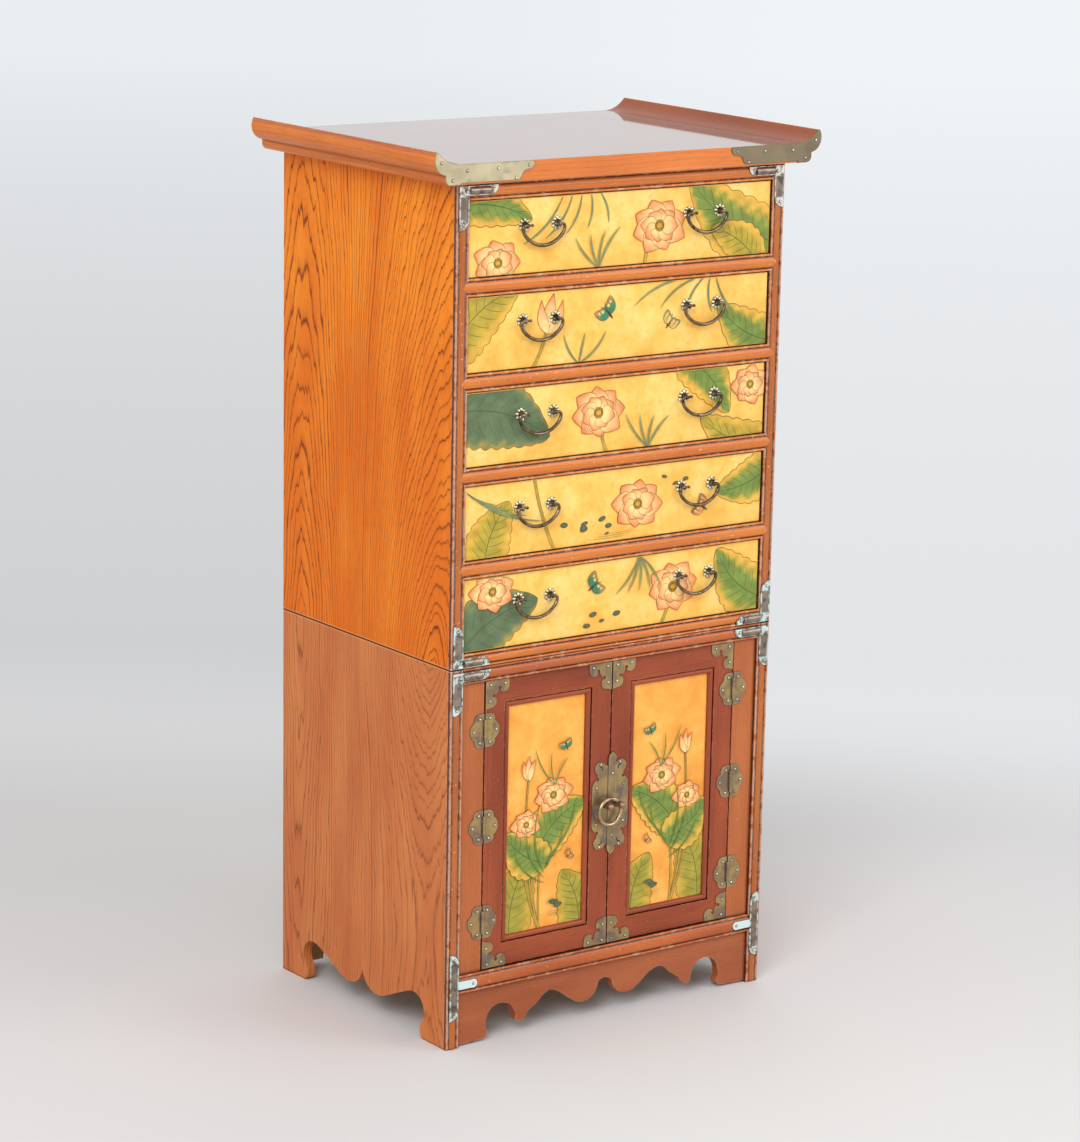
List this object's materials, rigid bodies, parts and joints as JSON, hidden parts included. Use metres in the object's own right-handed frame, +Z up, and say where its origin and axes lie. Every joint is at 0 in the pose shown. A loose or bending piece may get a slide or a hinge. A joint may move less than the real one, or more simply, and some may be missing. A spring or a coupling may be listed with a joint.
{
  "type": "chest of drawers",
  "caption": "Tall narrow chest with drawers over a two-door cupboard, upturned ends on its top board, painted fronts, and brass corner straps, hinges and swinging pulls.",
  "frame": {"origin": "middle of the bounding box's underside, on the floor", "axes": "+Z up, -Y towards the front with the drawers and doors, +X to the right as seen from the front"},
  "size_m": [0.657, 0.4578, 1.26],
  "materials": {
    "side_wood": "satin lacquer, strong grain",
    "frame_wood": "satin lacquer",
    "door_wood": "satin lacquer",
    "inside_wood": "plain, unfinished",
    "painted_wood": "painted and lacquered",
    "aged_brass": "aged, worn bright on edges",
    "dark_brass": "dark patina"
  },
  "bodies": {
    "case": {"top_board": "frame_wood", "scroll_end_left": "frame_wood", "scroll_end_right": "frame_wood", "top_corner_plates": "aged_brass", "upper_side_left": "side_wood", "upper_side_right": "side_wood", "upper_back_panel": "inside_wood", "upper_posts": "frame_wood", "upper_rails": "frame_wood", "drawer_runners": "inside_wood", "upper_floor": "inside_wood", "upper_corner_straps": "aged_brass", "lower_side_left": "side_wood", "lower_side_right": "side_wood", "lower_back_panel": "inside_wood", "lower_top_board": "inside_wood", "cupboard_floor": "inside_wood", "lower_posts": "frame_wood", "lower_rails": "frame_wood", "fixed_stiles": "frame_wood", "front_apron": "frame_wood", "lower_corner_straps": "aged_brass", "case_hinge_leaves": "aged_brass", "case_nails": "aged_brass"},
    "left_door": {"door_left_frame": "door_wood", "door_left_panel": "painted_wood", "door_left_plates": "aged_brass", "door_left_hinge_leaves": "aged_brass", "door_left_nails": "aged_brass"},
    "right_door": {"door_right_frame": "door_wood", "door_right_panel": "painted_wood", "door_right_plates": "aged_brass", "door_right_hinge_leaves": "aged_brass", "door_right_nails": "aged_brass"},
    "ring": {"ring_pull": "dark_brass"},
    "drawer_1": {"drawer_front_1": "painted_wood", "drawer_box_1": "inside_wood", "drawer_rosettes_1": "dark_brass"},
    "bail_left_1_body": {"bail_left_1": "dark_brass"},
    "bail_right_1_body": {"bail_right_1": "dark_brass"},
    "drawer_2": {"drawer_front_2": "painted_wood", "drawer_box_2": "inside_wood", "drawer_rosettes_2": "dark_brass"},
    "bail_left_2_body": {"bail_left_2": "dark_brass"},
    "bail_right_2_body": {"bail_right_2": "dark_brass"},
    "drawer_3": {"drawer_front_3": "painted_wood", "drawer_box_3": "inside_wood", "drawer_rosettes_3": "dark_brass"},
    "bail_left_3_body": {"bail_left_3": "dark_brass"},
    "bail_right_3_body": {"bail_right_3": "dark_brass"},
    "drawer_4": {"drawer_front_4": "painted_wood", "drawer_box_4": "inside_wood", "drawer_rosettes_4": "dark_brass"},
    "bail_left_4_body": {"bail_left_4": "dark_brass"},
    "bail_right_4_body": {"bail_right_4": "dark_brass"},
    "drawer_5": {"drawer_front_5": "painted_wood", "drawer_box_5": "inside_wood", "drawer_rosettes_5": "dark_brass"},
    "bail_left_5_body": {"bail_left_5": "dark_brass"},
    "bail_right_5_body": {"bail_right_5": "dark_brass"}
  },
  "joints": [
    {"name": "right_door_swing", "type": "hinge", "parent": "case", "child": "right_door", "pos_m": [0.219, -0.20565, 0.31725], "axis": [0, 0, 1], "range_deg": [0, 120]},
    {"name": "left_door_swing", "type": "hinge", "parent": "case", "child": "left_door", "pos_m": [-0.219, -0.20565, 0.31725], "axis": [0, 0, -1], "range_deg": [0, 72]},
    {"name": "ring_swing", "type": "hinge", "parent": "right_door", "child": "ring", "pos_m": [0.0102, -0.21415, 0.3175], "axis": [-0.5, 0, 0.866], "range_deg": [0, 120]},
    {"name": "drawer_1_slide", "type": "slide", "parent": "case", "child": "drawer_1", "axis": [0, -1, 0], "range_m": [0, 0.3]},
    {"name": "bail_left_1_swing", "type": "hinge", "parent": "drawer_1", "child": "bail_left_1_body", "pos_m": [-0.14, -0.21265, 1.152], "axis": [-1, 0, 0], "range_deg": [0, 90]},
    {"name": "bail_right_1_swing", "type": "hinge", "parent": "drawer_1", "child": "bail_right_1_body", "pos_m": [0.14, -0.21265, 1.152], "axis": [-1, 0, 0], "range_deg": [0, 90]},
    {"name": "drawer_2_slide", "type": "slide", "parent": "case", "child": "drawer_2", "axis": [0, -1, 0], "range_m": [0, 0.3]},
    {"name": "bail_left_2_swing", "type": "hinge", "parent": "drawer_2", "child": "bail_left_2_body", "pos_m": [-0.14, -0.21265, 1.023], "axis": [-1, 0, 0], "range_deg": [0, 90]},
    {"name": "bail_right_2_swing", "type": "hinge", "parent": "drawer_2", "child": "bail_right_2_body", "pos_m": [0.14, -0.21265, 1.023], "axis": [-1, 0, 0], "range_deg": [0, 90]},
    {"name": "drawer_3_slide", "type": "slide", "parent": "case", "child": "drawer_3", "axis": [0, -1, 0], "range_m": [0, 0.3]},
    {"name": "bail_left_3_swing", "type": "hinge", "parent": "drawer_3", "child": "bail_left_3_body", "pos_m": [-0.14, -0.21265, 0.894], "axis": [-1, 0, 0], "range_deg": [0, 90]},
    {"name": "bail_right_3_swing", "type": "hinge", "parent": "drawer_3", "child": "bail_right_3_body", "pos_m": [0.14, -0.21265, 0.894], "axis": [-1, 0, 0], "range_deg": [0, 90]},
    {"name": "drawer_4_slide", "type": "slide", "parent": "case", "child": "drawer_4", "axis": [0, -1, 0], "range_m": [0, 0.3]},
    {"name": "bail_left_4_swing", "type": "hinge", "parent": "drawer_4", "child": "bail_left_4_body", "pos_m": [-0.14, -0.21265, 0.765], "axis": [-1, 0, 0], "range_deg": [0, 90]},
    {"name": "bail_right_4_swing", "type": "hinge", "parent": "drawer_4", "child": "bail_right_4_body", "pos_m": [0.14, -0.21265, 0.765], "axis": [-1, 0, 0], "range_deg": [0, 90]},
    {"name": "drawer_5_slide", "type": "slide", "parent": "case", "child": "drawer_5", "axis": [0, -1, 0], "range_m": [0, 0.3]},
    {"name": "bail_left_5_swing", "type": "hinge", "parent": "drawer_5", "child": "bail_left_5_body", "pos_m": [-0.14, -0.21265, 0.636], "axis": [-1, 0, 0], "range_deg": [0, 90]},
    {"name": "bail_right_5_swing", "type": "hinge", "parent": "drawer_5", "child": "bail_right_5_body", "pos_m": [0.14, -0.21265, 0.636], "axis": [-1, 0, 0], "range_deg": [0, 90]}
  ],
  "couplings": [
    {"joint": "left_door_swing", "follows": "right_door_swing", "ratio": 0.6}
  ]
}
